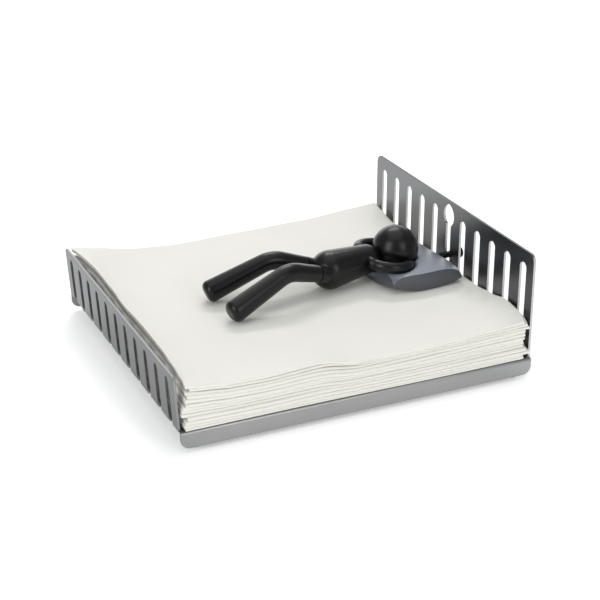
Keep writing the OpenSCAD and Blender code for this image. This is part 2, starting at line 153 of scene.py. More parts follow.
class FigureSettings(PropertyGroup):
    """Sizes of the lying figure, measured from the washer along its middle line."""

    lie_angle: angle("Lie angle", "Angle at which the figure lies across the bed", 4.2)
    neck: length("Neck", "Distance along the bed from the head's middle to the shoulders", 16.4)
    shoulder: length("Shoulder radius", "Radius of the torso at the shoulders", 7)
    hip: length("Hip radius", "Radius of the torso at the hips", 9.3)
    torso: length("Torso length", "Length of the torso from shoulders to hips", 19.5)
    torso_slope: angle("Torso slope", "Angle at which the torso slopes up to the shoulders", 4.3)
    arm: length("Arm radius", "Radius of an arm", 2.6)
    bow: length("Arm bow", "Radius of the bow that an arm makes round the head", 9.7)
    bow_ahead: length("Bow ahead", "How far the bow lies past the head's middle, towards the feet", 5.2)
    bow_skew: length("Bow skew", "How much further towards the feet the left arm's bow lies", 2.8)
    bow_aside: length("Bow aside", "Distance from the middle line to the middle of the bow", 7)
    bow_drop: length("Bow drop", "How far the bow lies below the shoulders", 0.1)
    bow_slope: angle("Bow slope", "Angle at which the bow slopes down to the hands", 8)
    bow_start: angle("Bow start", "Angle on the bow inside the shoulder where the arm starts", -25)
    hand: angle("Hand angle", "Angle on the bow at which the hand ends", 140)
    crease: number(
        "Crease", "Share of a limb's radius left in the crease where it joins", 0.84, min=0.5, max=1.0
    )
    collar: length("Collar gap", "Gap between the head and the collar that it sits in", 0.3)
    collar_round: length("Collar round", "Radius round the rim of the collar", 0.3)
    leg_ahead: length("Leg ahead", "Distance from the hips' middle to the start of a leg", 5)
    leg_aside: length("Leg aside", "Distance from the middle line to the start of a leg", 5.5)
    leg_up: length("Leg up", "Height of the start of a leg above the hips' middle", 0.6)
    leg_spread: angle("Leg spread", "Angle at which the legs spread", 8)
    thigh: length("Thigh radius", "Radius of a leg at the hip", 3.8)
    knee: length("Knee radius", "Radius of a leg at the knee", 4.4)
    ankle: length("Ankle radius", "Radius of a leg at the foot", 5.3)
    thigh_length: length("Thigh length", "Length of the thigh, to the corner of the knee", 22.8)
    thigh_rise: angle("Thigh rise", "Angle at which the thigh rises", 17.5)
    shin_length: length("Shin length", "Length of the shin, from the corner of the knee", 31.6)
    knee_bend: length("Knee bend", "Radius of the bend at the knee", 14)
    toe: length("Toe round", "Radius round the end of the foot", 3)
    pin: length("Pin radius", "Radius of the pin behind the pillow", 1.6)
    pin_depth: length("Pin depth", "Length of pin inside the pillow", 12)
    cap: length("Cap radius", "Radius of the cap on the pin's end", 2.8)
    cap_thickness: length("Cap thickness", "Thickness of the cap", 1.2)
    cap_stand: length("Cap stand", "Distance from the washer's middle to the cap", 1.935)
    pin_round: length("Pin round", "Radius round the edges of the pin and its cap", 0.3)
    washer_gap: length("Washer gap", "Gap between the pin and the washer round it", 0.58)
    washer_round: length("Washer round", "Radius round the edges of the washer", 0.15)


class FinishSettings(PropertyGroup):
    """Colours of the finishes."""

    steel: colour("Steel", "Satin steel of the tray", (0.272, 0.273, 0.271))
    cut_above: length("Cut edges above", "Height above which faces across the bed are cut edges", 10.4)
    boards_beyond: length("Boards beyond", "Distance along the bed that only the boards lie beyond", 40)
    # Where the painted shade on the headboard's inner face starts, towards the front
    painted_shade_beyond: length("Shaded beyond", "Distance to the front where the headboard darkens", 15)
    paper: colour("Paper", "Tissue paper of the napkins", (0.86, 0.85, 0.79))
    black: colour("Black", "Satin black of the figure", (0.003, 0.003, 0.0035))
    pillow: colour("Pillow", "Blue-grey of the pillow", (0.074, 0.082, 0.098))
    bumper: colour("Bumper", "Clear bumper feet", (0.42, 0.43, 0.43))


class StageSettings(PropertyGroup):
    """The floor, the light and the camera."""

    camera_place: point("Camera place", "Where the camera stands", (-0.270268, -0.60107, 0.31972))
    camera_aim: point("Camera aim", "Point that the camera looks at", (-0.001105, -0.0074535, 0.025))
    lens: number("Lens", "Focal length in millimetres", 92.0, min=1.0, unit="CAMERA")
    floor: colour("Floor", "Pale studio floor", (0.92, 0.92, 0.92))
    floor_glow: number("Floor glow", "Light that the lit floor gives off", 0.36)
    back_watts: watts("Low back light", "Power of the low light behind", 5.4)
    core_watts: watts("High back light", "Power of the high light behind", 6.2)
    top_watts: watts("Top light", "Power of the light overhead", 6.6)
    left_watts: watts("Left light", "Power of the light in front, left", 7.5)
    right_watts: watts("Right light", "Power of the light in front, right", 3.2)
    sky: number("Sky", "Strength of the light from all round", 0.36)
    sky_colour: colour("Sky colour", "Colour of the light from all round", (0.96, 0.98, 1.0))


class HolderSettings(PropertyGroup):
    """All the settings of the napkin holder."""

    tray: PointerProperty(type=TraySettings)
    stack: PointerProperty(type=StackSettings)
    pillow: PointerProperty(type=PillowSettings)
    figure: PointerProperty(type=FigureSettings)
    finish: PointerProperty(type=FinishSettings)
    stage: PointerProperty(type=StageSettings)


class Wire:
    """A shader socket's value, with arithmetic that adds Math nodes."""

    def __init__(self, finish, socket):
        self.finish = finish
        self.socket = socket

    def math(self, operation, *others):
        """The result of a Math node on this value and others."""
        return self.finish.node("ShaderNodeMath", {"operation": operation}, [self, *others])

    def __add__(self, other):
        return self.math("ADD", other)

    __radd__ = __add__

    def __sub__(self, other):
        return self.math("SUBTRACT", other)

    def __rsub__(self, other):
        return self.finish.node("ShaderNodeMath", {"operation": "SUBTRACT"}, [other, self])

    def __mul__(self, other):
        return self.math("MULTIPLY", other)

    def __gt__(self, other):
        return self.math("GREATER_THAN", other)

    def __abs__(self):
        return self.math("ABSOLUTE")


class Finish:
    """One procedural material and the nodes in it."""

    def __init__(self, name):
        self.material = bpy.data.materials.new(name)
        self.material.use_nodes = True
        self.tree = self.material.node_tree
        self.tree.nodes.clear()
        self.shader = self.tree.nodes.new("ShaderNodeBsdfPrincipled")
        output = self.tree.nodes.new("ShaderNodeOutputMaterial")
        self.tree.links.new(self.shader.outputs["BSDF"], output.inputs["Surface"])

    def node(self, kind, settings=None, inputs=(), output=0):
        """Adds a node, sets it up, then gives its sockets values or links. Returns one output."""
        made = self.tree.nodes.new(kind)
        for key, value in (settings or {}).items():
            setattr(made, key, value)
        pairs = inputs.items() if isinstance(inputs, dict) else enumerate(inputs)
        for socket, value in pairs:
            self.feed(made.inputs[socket], value)
        return Wire(self, made.outputs[output])

    def feed(self, socket, value):
        """Links a wire to a socket, or sets its plain value."""
        if isinstance(value, Wire):
            self.tree.links.new(value.socket, socket)
        else:
            socket.default_value = value

    def set(self, **sockets):
        """Feeds the main shader: base_color, roughness and so on."""
        for name, value in sockets.items():
            self.feed(self.shader.inputs[name.replace("_", " ").title()], value)

    def place(self):
        """The object's own coordinates, in metres."""
        return self.node("ShaderNodeTexCoord", output="Object")

    def normal(self):
        """The direction that the surface faces."""
        return self.node("ShaderNodeNewGeometry", output="Normal")

    def parts(self, vector):
        """The three parts of a vector."""
        return [self.node("ShaderNodeSeparateXYZ", {}, [vector], output=i) for i in range(3)]

    def stretched(self, scale):
        """The object's own coordinates, with each axis scaled."""
        return self.node("ShaderNodeMapping", {}, {"Vector": self.place(), "Scale": scale})

    def noise(self, vector, scale, detail=2.0, roughness=0.5):
        """Cloudy values between 0 and 1."""
        return self.node(
            "ShaderNodeTexNoise", {},
            {"Vector": vector, "Scale": scale, "Detail": detail, "Roughness": roughness},
        )

    def mix(self, factor, one, other):
        """One colour, plain or wired, blended into a plain one."""
        if not isinstance(one, Wire):
            one = (*one, 1.0)
        return self.node(
            "ShaderNodeMix", {"data_type": "RGBA"}, {0: factor, 6: one, 7: (*other, 1.0)}, output=2
        )

    def bump(self, height, strength, distance):
        """A normal roughened by a height."""
        return self.node(
            "ShaderNodeBump", {}, {"Strength": strength, "Distance": distance, "Height": height}
        )


def shade(rgb, factor):
    """A colour made lighter or darker."""
    return tuple(min(1.0, channel * factor) for channel in rgb)


# Cosine above which a face counts as facing an axis
FACING = 0.7


def steel_finish(settings):
    """Satin steel, brushed along the sheet before it was bent, with painted light and shade on its
    faces and edges.
    """
    finish = Finish("satin steel")
    along, across, up = finish.parts(finish.normal())
    place = finish.place()
    x, y, z = finish.parts(place)
    headboard, footboard = x > 0.0, (0 - x) > 0.0
    raised = z > settings.cut_above
    sides = abs(across) > FACING
    rails = sides * (1 - raised)
    rim = (up > FACING) * raised

    # Painted shade on the faces of the boards that look away from the bed, and on the front of the
    # headboard's inner face
    outside = (x * along) > settings.boards_beyond
    front = 0 - y - settings.painted_shade_beyond
    painted_shade = ((0 - x * along) > settings.boards_beyond) * headboard * (front > 0.0) * front

    # Grain that is fine across the brushing and slow along it
    fine, slow = 5200.0, 70.0
    brushed = finish.node(
        "ShaderNodeCombineXYZ", {}, [x * slow, y * fine, z * (slow + rails * (fine - slow))]
    )
    grain = finish.noise(brushed, 1.0, detail=3.0, roughness=0.6)
    cloud = finish.noise(place, 38.0, detail=3.0)
    tone = cloud * 0.6 + grain * 0.4
    # The headboard's cut faces and the footboard's rim blend to a light colour, a painted highlight,
    # and are rougher
    cut = sides * raised * headboard + rim * footboard * 0.7
    # Lightness: random brushed tone, painted light on rails and cut faces, painted shade on outer
    # faces, rims and the headboard's front
    lightness = 0.25 + tone * 0.3 + rails * 0.4 + sides * raised * 0.25
    lightness = lightness - outside * 0.19 - rim * 0.05 - painted_shade * 4.5
    # The dark end is bluish, the tint of the painted shade
    cool = tuple(channel * part for channel, part in zip(settings.steel, (0.20, 0.22, 0.25)))
    sheet = finish.mix(lightness, cool, shade(settings.steel, 1.45))
    finish.set(
        base_color=finish.mix(cut, sheet, shade(settings.steel, 2.2)),
        metallic=1.0,
        roughness=0.24 + grain * 0.16 + cut * 0.3 + rim * 0.25,
        normal=finish.bump(grain, 0.35, 0.02 * MM),
    )
    return finish.material


def paper_finish(settings):
    """Soft tissue paper with a fibrous tooth."""
    finish = Finish("tissue paper")
    fibre = finish.noise(finish.stretched((900.0, 2400.0, 900.0)), 1.0, detail=4.0, roughness=0.65)
    cloud = finish.noise(finish.place(), 45.0, detail=2.0)
    finish.set(
        base_color=finish.mix(
            cloud * 0.7 + fibre * 0.3, shade(settings.paper, 0.97), shade(settings.paper, 1.03)
        ),
        roughness=0.92,
        normal=finish.bump(fibre, 0.25, 0.06 * MM),
    )
    finish.shader.inputs["Specular IOR Level"].default_value = 0.2
    finish.shader.inputs["Sheen Weight"].default_value = 0.15
    return finish.material


def black_finish(name, settings, grain_size):
    """Satin black with a fine cast grain."""
    finish = Finish(name)
    grain = finish.noise(finish.place(), 1.0 / grain_size, detail=3.0, roughness=0.6)
    wear = finish.noise(finish.place(), 160.0, detail=2.0)
    finish.set(
        base_color=finish.mix(wear, shade(settings.black, 0.8), shade(settings.black, 1.5)),
        roughness=0.25 + wear * 0.07 + grain * 0.05,
        normal=finish.bump(grain, 0.15, 0.03 * MM),
    )
    finish.shader.inputs["Specular IOR Level"].default_value = 0.34
    return finish.material


def figure_black(settings):
    """The figure's finish, made once and shared by its pieces."""
    return bpy.data.materials.get("satin black") or black_finish("satin black", settings, 0.35 * MM)


def pillow_finish(settings):
    """Satin blue-grey moulding with a fine tooth, with painted light that makes its top paler than its
    sides.
    """
    finish = Finish("blue-grey pillow")
    up = finish.parts(finish.normal())[2]
    tooth = finish.noise(finish.place(), 3600.0, detail=3.0, roughness=0.6)
    cloud = finish.noise(finish.place(), 110.0, detail=2.0)
    # Faces that look up are painted paler, painted light, with a faint random cloud
    finish.set(
        base_color=finish.mix(
            cloud * 0.15 + (up - 0.55) * 2, shade(settings.pillow, 0.9), shade(settings.pillow, 3.1)
        ),
        roughness=0.3 + tooth * 0.12,
        normal=finish.bump(tooth, 0.2, 0.04 * MM),
    )
    finish.shader.inputs["Specular IOR Level"].default_value = 0.65
    return finish.material


def bumper_finish(settings):
    """Clear soft bumpers, a little cloudy."""
    finish = Finish("clear bumper")
    cloud = finish.noise(finish.place(), 420.0, detail=2.0)
    finish.set(
        base_color=finish.mix(cloud, shade(settings.bumper, 0.9), shade(settings.bumper, 1.05)),
        roughness=0.22 + cloud * 0.15,
    )
    finish.shader.inputs["Transmission Weight"].default_value = 0.3
    finish.shader.inputs["IOR"].default_value = 1.45
    return finish.material


def floor_finish(settings):
    """A plain pale studio floor."""
    finish = Finish("studio floor")
    finish.set(base_color=(*settings.floor, 1.0), roughness=0.85)
    finish.shader.inputs["Specular IOR Level"].default_value = 0.1
    finish.shader.inputs["Emission Color"].default_value = (*settings.floor, 1.0)
    finish.shader.inputs["Emission Strength"].default_value = settings.floor_glow
    return finish.material


def deselect():
    """Nothing selected and nothing in edit mode."""
    if bpy.context.object and bpy.context.object.mode != "OBJECT":
        bpy.ops.object.mode_set(mode="OBJECT")
    bpy.ops.object.select_all(action="DESELECT")


def pick(piece):
    """Makes one piece the selected and active one."""
    deselect()
    piece.select_set(True)
    bpy.context.view_layer.objects.active = piece


def selected_middle():
    """Middle of the vertices that are selected in edit mode."""
    mesh = bmesh.from_edit_mesh(bpy.context.object.data)
    picked = [v.co for v in mesh.verts if v.select]
    return bpy.context.object.matrix_world @ (sum(picked, Vector()) / len(picked))


def start_ring(name, radius, place=(0, 0, 0), heading=0.0, sides=40):
    """Adds a disc that faces its heading in the plane of X and Y, and opens it in edit mode."""
    deselect()
    bpy.ops.mesh.primitive_circle_add(
        vertices=sides, radius=radius, fill_type="NGON", location=place,
        rotation=(0, math.pi / 2, heading),
    )
    piece = bpy.context.object
    piece.name = piece.data.name = name
    bpy.ops.object.transform_apply()
    bpy.ops.object.mode_set(mode="EDIT")
    bpy.ops.mesh.select_all(action="SELECT")
    return piece


def start_block(name, cuts):
    """Adds a block that runs from -1 to 1, cut into a grid, and leaves it open in edit mode."""
    deselect()
    bpy.ops.mesh.primitive_cube_add(size=2)
    piece = bpy.context.object
    piece.name = piece.data.name = name
    bpy.ops.object.mode_set(mode="EDIT")
    bpy.ops.mesh.select_all(action="SELECT")
    bpy.ops.mesh.subdivide(number_cuts=cuts)
    return piece


def draw_out(step, grow):
    """Extrudes the selected end by a step and resizes it about its own middle."""
    bpy.ops.mesh.extrude_region_move(TRANSFORM_OT_translate={"value": step})
    resize_end(grow)


def draw_along(outline, heading=0.0):
    """Draws the selected end out through an outline of distances and radii along its heading."""
    ahead = Vector((math.cos(heading), math.sin(heading), 0))
    for (x0, r0), (x1, r1) in zip(outline, outline[1:]):
        draw_out(ahead * (x1 - x0), r1 / r0)


def swing_end(turn, centre, steps):
    """Spins the selected end about a centre; a positive turn goes from X to Y."""
    bpy.ops.mesh.spin(steps=steps, angle=-turn, center=centre, axis=(0, 0, 1))


def resize_end(grow):
    """Resizes the selected end about its own middle."""
    bpy.ops.transform.resize(value=(grow, grow, grow), center_override=selected_middle())


# Distance within which points count as one
TOUCHING = 0.001 * MM


def close_up(piece):
    """Merges what touches and turns every face outwards."""
    bpy.ops.mesh.select_all(action="SELECT")
    bpy.ops.mesh.remove_doubles(threshold=TOUCHING)
    bpy.ops.mesh.normals_make_consistent(inside=False)
    bpy.ops.object.mode_set(mode="OBJECT")
    return piece


def settle(piece, matrix):
    """Moves a piece to its place, and leaves its object at the origin."""
    pick(piece)
    piece.matrix_world = matrix
    bpy.ops.object.transform_apply()
    if matrix.determinant() < 0:
        bpy.ops.object.mode_set(mode="EDIT")
        close_up(piece)


def use_modifier(piece, kind, **settings):
    """Adds a modifier, sets it up and applies it."""
    pick(piece)
    modifier = piece.modifiers.new(kind.title(), kind)
    for key, value in settings.items():
        setattr(modifier, key, value)
    bpy.ops.object.modifier_apply(modifier=modifier.name)


def break_edges(piece, width, segments, sharper=40.0, **settings):
    """Rounds the edges that are sharper than an angle in degrees."""
    use_modifier(
        piece, "BEVEL", width=width, segments=segments, limit_method="ANGLE",
        angle_limit=math.radians(sharper), **settings,
    )


def read_points(piece):
    """The points of a piece's mesh, one in each row."""
    points = np.zeros(len(piece.data.vertices) * 3)
    piece.data.vertices.foreach_get("co", points)
    return points.reshape(-1, 3)


def write_points(piece, points):
    """Moves the points of a piece's mesh."""
    piece.data.vertices.foreach_set("co", points.ravel())
    piece.data.update()


def dress(piece, material, body, slot, *nodes, sharp=35.0):
    """Gives a piece its finish and its body, and hides the nodes that it stands for. Its slot is not
    used.
    """
    pick(piece)
    bpy.ops.object.shade_smooth_by_angle(angle=math.radians(sharp))
    piece.data.materials.clear()
    piece.data.materials.append(material)
    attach(piece, body)
    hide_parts(*nodes)


def dress_figure(piece, settings, node):
    """Gives a piece of the figure the finish and the body that all of them share."""
    dress(piece, figure_black(settings.finish), "sleeper", "figure_black", node, sharp=60.0)


def lying(settings):
    """The figure's own frame: +X runs from the washer to the feet, +Y to its left side."""
    turn = Matrix.Rotation(math.pi + settings.lie_angle, 4, "Z")
    return Matrix.Translation((PIVOT.x, PIVOT.y, 0)) @ turn


class FigurePlan:
    """Places on the figure that its pieces share, in its own frame."""

    def __init__(self, settings):
        head_low, head_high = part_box("head")
        middle = lying(settings).inverted() @ ((head_low + head_high) / 2)
        self.head = Vector((middle.x, 0, middle.z))
        self.head_radius = (head_high.x - head_low.x) / 2
        self.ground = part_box("pillow")[0].z
        slope = settings.torso_slope
        hip_x = self.head.x + settings.neck + settings.torso * math.cos(slope)
        self.hip = Vector((hip_x, 0, self.ground + settings.hip))
        self.shoulder = self.hip + settings.torso * Vector((-math.cos(slope), 0, math.sin(slope)))
        bow_z = self.shoulder.z - settings.bow_drop
        self.bow = Vector((self.head.x + settings.bow_ahead, 0, bow_z))
        self.left_bow = self.bow + Vector((settings.bow_skew, 0, 0))


def dome(radius, start, end, steps):
    """Points of a round end: distances and radii between two angles from its rim to its tip."""
    turns = [start + (end - start) * i / steps for i in range(steps + 1)]
    return [(radius * math.sin(a), radius * math.cos(a)) for a in turns]


# Angle at which a round end stops, just short of its tip
TIP = math.radians(88)


class HOLDER_OT_tray(Operator):
    """Breaks the edges of the bent sheet, which holds its slots and bends."""

    bl_idname = "napkin_holder.tray"
    bl_label = "Tray"

    def execute(self, context):
        settings = context.scene.napkin_holder
        deselect()
        tray = bpy.data.objects.new("steel_tray", frame["nodes"]["bed_frame"].data.copy())
        context.collection.objects.link(tray)
        pick(tray)
        bpy.ops.object.mode_set(mode="EDIT")
        bpy.ops.mesh.select_all(action="SELECT")
        bpy.ops.mesh.remove_doubles(threshold=TOUCHING)
        flat = math.radians(0.2)
        bpy.ops.mesh.dissolve_limited(angle_limit=flat)
        bpy.ops.object.mode_set(mode="OBJECT")
        break_edges(tray, settings.tray.edge_round, 2, sharper=35.0, use_clamp_overlap=False)
        use_modifier(tray, "TRIANGULATE")
        dress(tray, steel_finish(settings.finish), "frame", "steel", "bed_frame", sharp=50.0)
        use_modifier(tray, "WEIGHTED_NORMAL", mode="FACE_AREA", weight=100, keep_sharp=True)
        return {"FINISHED"}


class HOLDER_OT_feet(Operator):
    """Makes the clear bumpers under the tray."""

    bl_idname = "napkin_holder.feet"
    bl_label = "Feet"

    def execute(self, context):
        settings = context.scene.napkin_holder
        material = bumper_finish(settings.finish)
        for node in FEET:
            low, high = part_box(node)
            middle = (low + high) / 2
            radius = (high.x - low.x) / 2
            height = high.z - low.z
            round_edge = radius * 0.6
            root = radius * 0.97
            foot = start_ring("clear_" + node, root)
            draw_along([(0, root), (height * 0.3, radius), (height - round_edge, radius)])
            tip = dome(round_edge, 0, math.radians(85), 6)
            draw_along([(x, radius - round_edge + r) for x, r in tip])
            close_up(foot)
            down = Matrix.Rotation(math.pi / 2, 4, "Y")
            settle(foot, Matrix.Translation((middle.x, middle.y, high.z)) @ down)
            dress(foot, material, "frame", "bumper", node)
        return {"FINISHED"}


def eased(places, values, x):
    """A smooth curve through a few values at given places."""
    at = np.clip(np.searchsorted(places, x, side="right") - 1, 0, len(places) - 2)
    places, values = np.array(places), np.array(values)
    t = np.clip((x - places[at]) / (places[at + 1] - places[at]), 0, 1)
    t = t * t * (3 - 2 * t)
    return values[at] * (1 - t) + values[at + 1] * t


# How far the top of the stack stands above or below its mean height along its four edges: places as
# shares of its length from the footboard or of its width from the front, then heights in millimetres
FRONT_EDGE = (
    [0, 0.06, 0.12, 0.2, 0.37, 0.49, 0.6, 0.76, 0.9, 1],
    [4.0, 2.0, 0.8, 0.7, 2.2, -1.2, -1.1, -0.3, 0.6, 1.6],
)
BACK_EDGE = (
    [0, 0.08, 0.14, 0.2, 0.32, 0.54, 0.74, 0.92, 1],
    [8.0, 5.2, 2.9, 1.6, 0.6, 1.7, 2.5, 4.5, 5.7],
)
HEAD_EDGE = (
    [0, 0.05, 0.13, 0.22, 0.31, 0.85, 0.94, 1],
    [1.6, 3.6, 4.2, 1.5, 0.0, 0.7, 2.4, 5.7],
)
FOOT_EDGE = (
    [0, 0.04, 0.12, 0.23, 0.4, 0.53, 0.66, 0.82, 1],
    [4.0, 4.6, 5.3, 5.8, 6.0, 5.8, 6.8, 7.8, 8.0],
)


def stack_lift(along, across, size, reach):
    """Lift of the stack's top, for places given as shares of its length and width."""
    edges = [
        (FRONT_EDGE, along, across * size[1]),
        (BACK_EDGE, along, (1 - across) * size[1]),
        (HEAD_EDGE, across, (1 - along) * size[0]),
        (FOOT_EDGE, across, along * size[0]),
    ]
    total = np.zeros_like(along)
    weight = np.zeros_like(along)
    for (places, values), where, distance in edges:
        share = np.exp(-np.maximum(distance, 0) / reach)
        total += share * eased(places, values, where) * MM
        weight += share
    return total / np.maximum(weight, 1.0)


class HOLDER_OT_napkins(Operator):
    """Folds each napkin of the stack twice and lays it down."""

    bl_idname = "napkin_holder.napkins"
    bl_label = "Napkins"

    segments: IntProperty(
        name="Segments", description="Faces along each side of an open napkin", default=96, min=8
    )

    def execute(self, context):
        settings = context.scene.napkin_holder
        material = paper_finish(settings.finish)
        random = np.random.default_rng(seed=7)
        for i, node in enumerate(NAPKINS):
            sheet = self.fold(settings.stack, node, i, random)
            body = "top_napkin" if node == "top_napkin" else "frame"
            dress(sheet, material, body, "napkin_paper", node, sharp=80.0)
        return {"FINISHED"}

    def fold(self, settings, node, i, random):
        """One napkin: a flat grid folded across the bed, then along it, and laid on the stack."""
        deselect()
        count = self.segments
        bpy.ops.mesh.primitive_grid_add(x_subdivisions=count, y_subdivisions=count, size=2)
        sheet = bpy.context.object
        sheet.name = sheet.data.name = "folded_" + node
        size = np.array([settings.napkin_x, settings.napkin_y])
        x, y, z = self.folded(read_points(sheet), size, settings, random)

        # The last fold lies in front, and every other napkin has its first fold at the headboard
        if i % 2:
            x = size[0] - x
        x, y, z = self.laid(x, y, z, i, size, settings, random)
        low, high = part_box(node)
        corner = (low + high) / 2 - Vector((*size, 0)) / 2
        write_points(sheet, np.stack([x + corner.x, y + corner.y, z + low.z], axis=1))
        return sheet

    @staticmethod
    def folded(points, size, settings, random):
        """Places on a sheet that is folded flat, measured from the corner of its folds."""
        # Points crowd at the folds, and a small share of the sheet goes round each fold
        crowding, turned = 1.8, 0.012
        s, t = (np.sign(points[:, k]) * np.abs(points[:, k]) ** crowding for k in range(2))
        along, across = (np.maximum(np.abs(k) - turned, 0) / (1 - turned) for k in (s, t))
        gap = settings.layer_gap * random.uniform(0.84, 1.08)
        gap = gap + settings.fold_puff * np.exp(-across * 30)
        swing_s = np.clip(s / turned, -1, 1) * math.pi / 2
        swing_t = (1 - np.clip(t / turned, -1, 1)) * math.pi / 2
        level = gap * (0.5 + 0.5 * np.sin(swing_s))
        turn = 1.5 * gap - level
        x = along * size[0] - 0.5 * gap * np.cos(swing_s)
        y = across * size[1] - turn * np.sin(swing_t)
        z = 1.5 * gap - turn * np.cos(swing_t)
        return x, y, z

    @staticmethod
    def laid(x, y, z, i, size, settings, random):
        """The same places when the napkin lies on the stack, with its ripples and lifted edges."""
        stray = random.uniform(-1, 1, 2) * [settings.stray_x, settings.stray_y]
        wave = random.uniform(0, 2 * math.pi, 6)
        height = (i + 1) / len(NAPKINS)
        reach = settings.edge_reach
        along, across = np.clip(np.stack([x, y]) / size[:, None], 0, 1)

        # Ripples are strongest near the edges that show
        near = np.exp(-across * 12) + np.exp(-(1 - along) * 14) + np.exp(-along * 14)
        ripple = settings.ripple * (0.5 + near) * (
            np.sin(7 * along + wave[0]) * np.sin(5 * across + wave[1])
            + 0.6 * np.sin(17 * along + wave[2] + 3 * across)
        )

        # The edge at the footboard curls in where it is lifted, though not at its back corner
        curl_reach, back_reach = 1.1 * reach, 2.2 * reach
        curl = (eased(*FOOT_EDGE, across) * MM * height) ** 2 / curl_reach
        curl = curl * (1 - 1.2 * np.exp(-(1 - across) * size[1] / back_reach))
        x = x + stray[0] + settings.stray_x * 0.5 * np.sin(6 * across + wave[3])
        x = x + curl * np.exp(-along * size[0] / reach)

        # Some corners at the front of the headboard are tucked in, and lower napkins lie further out
        corner, tuck_reach = (1 - along) * size[0] + across * size[1], 0.4 * reach
        x = x - settings.tuck * np.sin(wave[5]) ** 2 * np.exp(-corner / tuck_reach)
        outwards = 1.5 * settings.stray_y
        y = y + stray[1] + settings.stray_y * 0.5 * np.sin(8 * along + wave[4])
        y = y - outwards * (1 - height) * (1 - across)

        # The lift grows up the stack, and the layers of a napkin share the room that it makes
        growth, droop_reach = 1.2, 1.2 * MM
        lift = stack_lift(along, across, size, reach)
        rise = lift * (i / len(NAPKINS)) ** growth
        loose = 1 + (lift * height**growth - rise) / settings.pitch
        rise -= settings.droop * (1 - height) ** 4 * np.exp(-across * size[1] / droop_reach)
        return x, y, z * loose + rise + ripple * height


class HOLDER_OT_pin(Operator):
    """Turns the pin with its cap, and the loose washer behind the headboard."""

    bl_idname = "napkin_holder.pin"
    bl_label = "Pin and washer"

    def execute(self, context):
        settings = context.scene.napkin_holder
        figure = settings.figure
        material = black_finish("black pin", settings.finish, 0.4 * MM)
        cap_end = -figure.cap_stand - figure.cap_thickness
        pin_end = settings.pillow.inset + figure.pin_depth
        pin = start_ring("capped_pin", figure.cap, place=(cap_end, 0, 0))
        draw_along([
            (cap_end, figure.cap), (-figure.cap_stand, figure.cap), (-figure.cap_stand, figure.pin),
            (pin_end, figure.pin),
        ])
        close_up(pin)
        break_edges(pin, figure.pin_round, 3)
        settle(pin, lying(figure) @ Matrix.Translation((0, 0, PIVOT.z)))
        dress(pin, material, "sleeper", "pin_black", "guide_pin")

        low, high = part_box("washer")
        radius = (high.z - low.z) / 2
        washer = start_ring("loose_washer", radius, place=(low.x - PIVOT.x, 0, 0))
        bpy.ops.mesh.inset(thickness=radius - figure.pin - figure.washer_gap)
        bpy.ops.mesh.delete(type="ONLY_FACE")
        bpy.ops.mesh.select_all(action="SELECT")
        bpy.ops.mesh.extrude_region_move(TRANSFORM_OT_translate={"value": (high.x - low.x, 0, 0)})
        close_up(washer)
        break_edges(washer, figure.washer_round, 2)
        settle(washer, Matrix.Translation(PIVOT))
        dress(washer, material, "slider", "pin_black", "washer")
        return {"FINISHED"}


def soft_least(values, blend):
    """The least of several heights, rounded where they cross."""
    total = sum(np.exp(-v / blend) for v in values)
    return -blend * np.log(total)


def under_round(distance, radius, middle):
    """Underside of a round body at a distance from its axis, and far above elsewhere."""
    inside = np.sqrt(np.maximum(radius**2 - distance**2, 0))
    return np.where(distance < radius, middle - inside, middle + radius)


